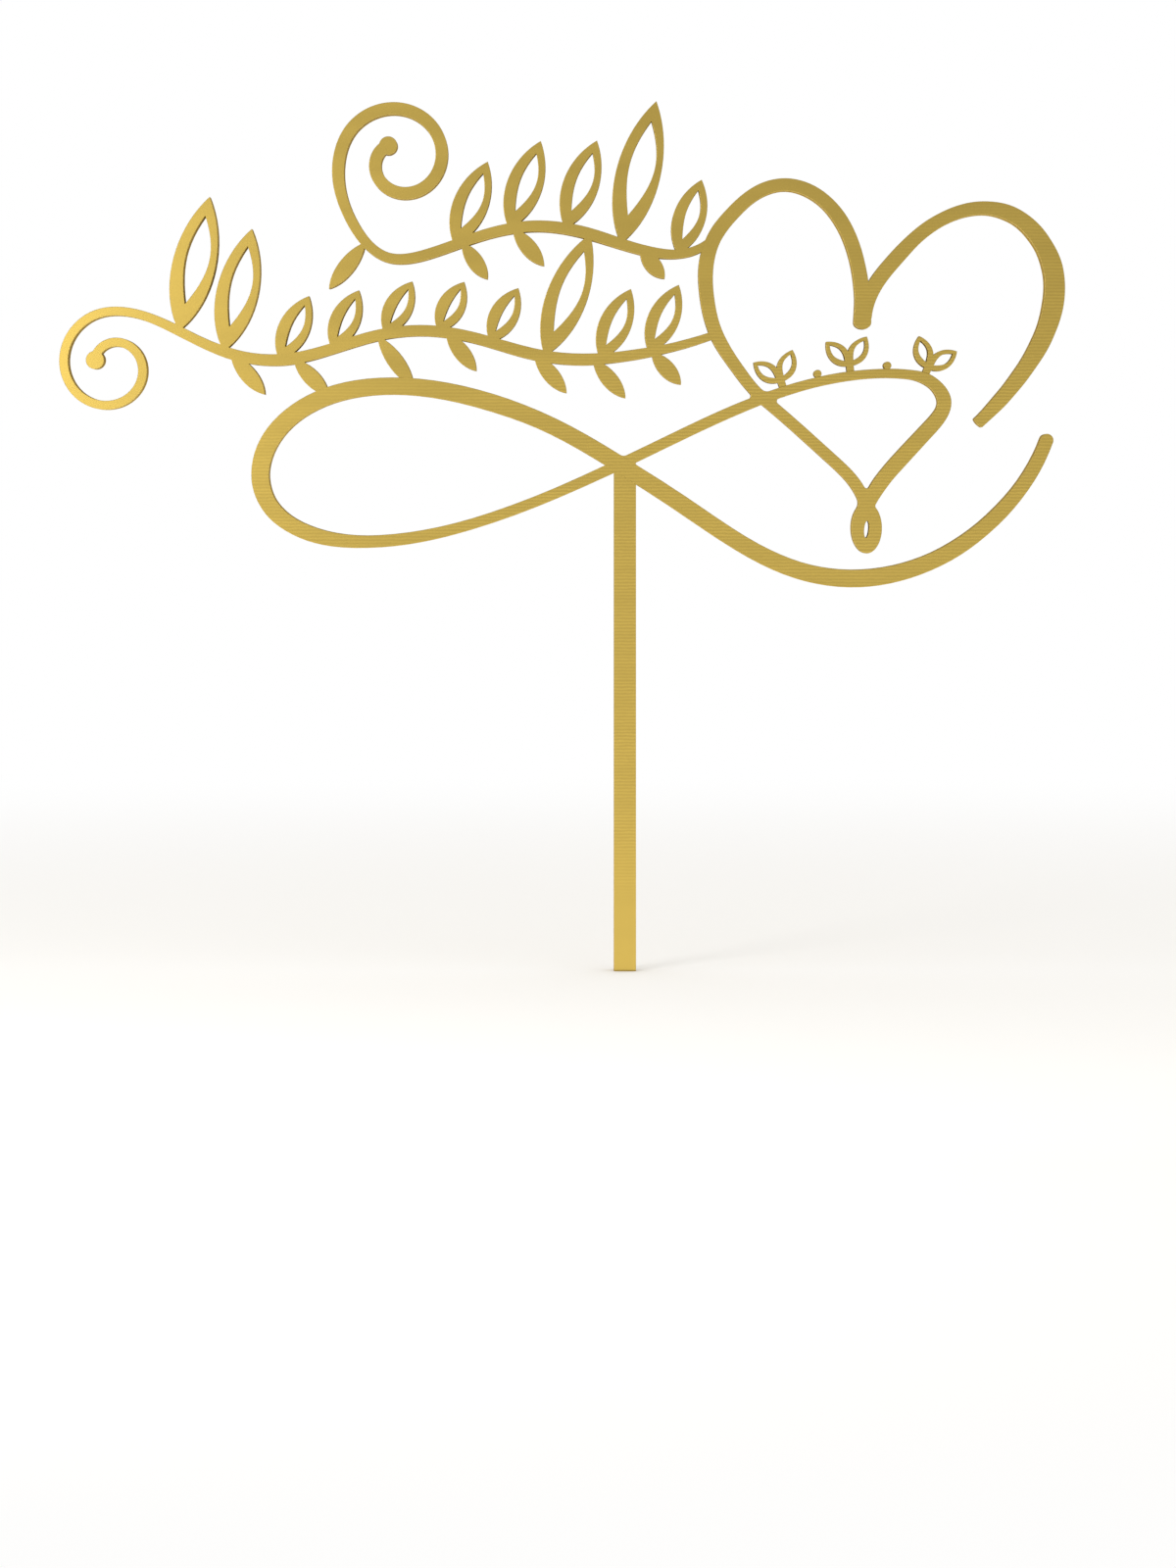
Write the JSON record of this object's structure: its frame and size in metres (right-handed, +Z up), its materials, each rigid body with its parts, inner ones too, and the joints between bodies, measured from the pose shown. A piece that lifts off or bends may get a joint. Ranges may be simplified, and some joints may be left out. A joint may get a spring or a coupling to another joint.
{
  "type": "cake topper",
  "caption": "Flat gold cake topper: an infinity sign whose line runs on into an open heart, with leaf sprays and small sprouts, held up by one flat stem that pushes into a cake.",
  "frame": {"origin": "middle of the stem's square-cut foot", "axes": "+Z up along the stem, -Y out of the gold face towards the viewer, +X to the viewer's right along the sheet"},
  "size_m": [0.154, 0.003, 0.1332],
  "materials": {
    "acrylic_core": "amber-brown cast acrylic, laser-cut edges left matte",
    "gold_face_film": "brushed gold film, fine level grain",
    "gold_back_film": "plain satin gold film"
  },
  "bodies": {
    "root": {"heart_back_film": "gold_back_film", "heart_core": "acrylic_core", "heart_face_film": "gold_face_film", "infinity_back_film": "gold_back_film", "infinity_core": "acrylic_core", "infinity_face_film": "gold_face_film", "left_bead_back_film": "gold_back_film", "left_bead_core": "acrylic_core", "left_bead_face_film": "gold_face_film", "left_sprout_back_film": "gold_back_film", "left_sprout_core": "acrylic_core", "left_sprout_face_film": "gold_face_film", "lower_spray_back_film": "gold_back_film", "lower_spray_core": "acrylic_core", "lower_spray_face_film": "gold_face_film", "middle_sprout_back_film": "gold_back_film", "middle_sprout_core": "acrylic_core", "middle_sprout_face_film": "gold_face_film", "right_bead_back_film": "gold_back_film", "right_bead_core": "acrylic_core", "right_bead_face_film": "gold_face_film", "right_lobe_back_film": "gold_back_film", "right_lobe_core": "acrylic_core", "right_lobe_face_film": "gold_face_film", "right_sprout_back_film": "gold_back_film", "right_sprout_core": "acrylic_core", "right_sprout_face_film": "gold_face_film", "stem_back_film": "gold_back_film", "stem_core": "acrylic_core", "stem_face_film": "gold_face_film", "upper_spray_back_film": "gold_back_film", "upper_spray_core": "acrylic_core", "upper_spray_face_film": "gold_face_film"}
  },
  "joints": []
}
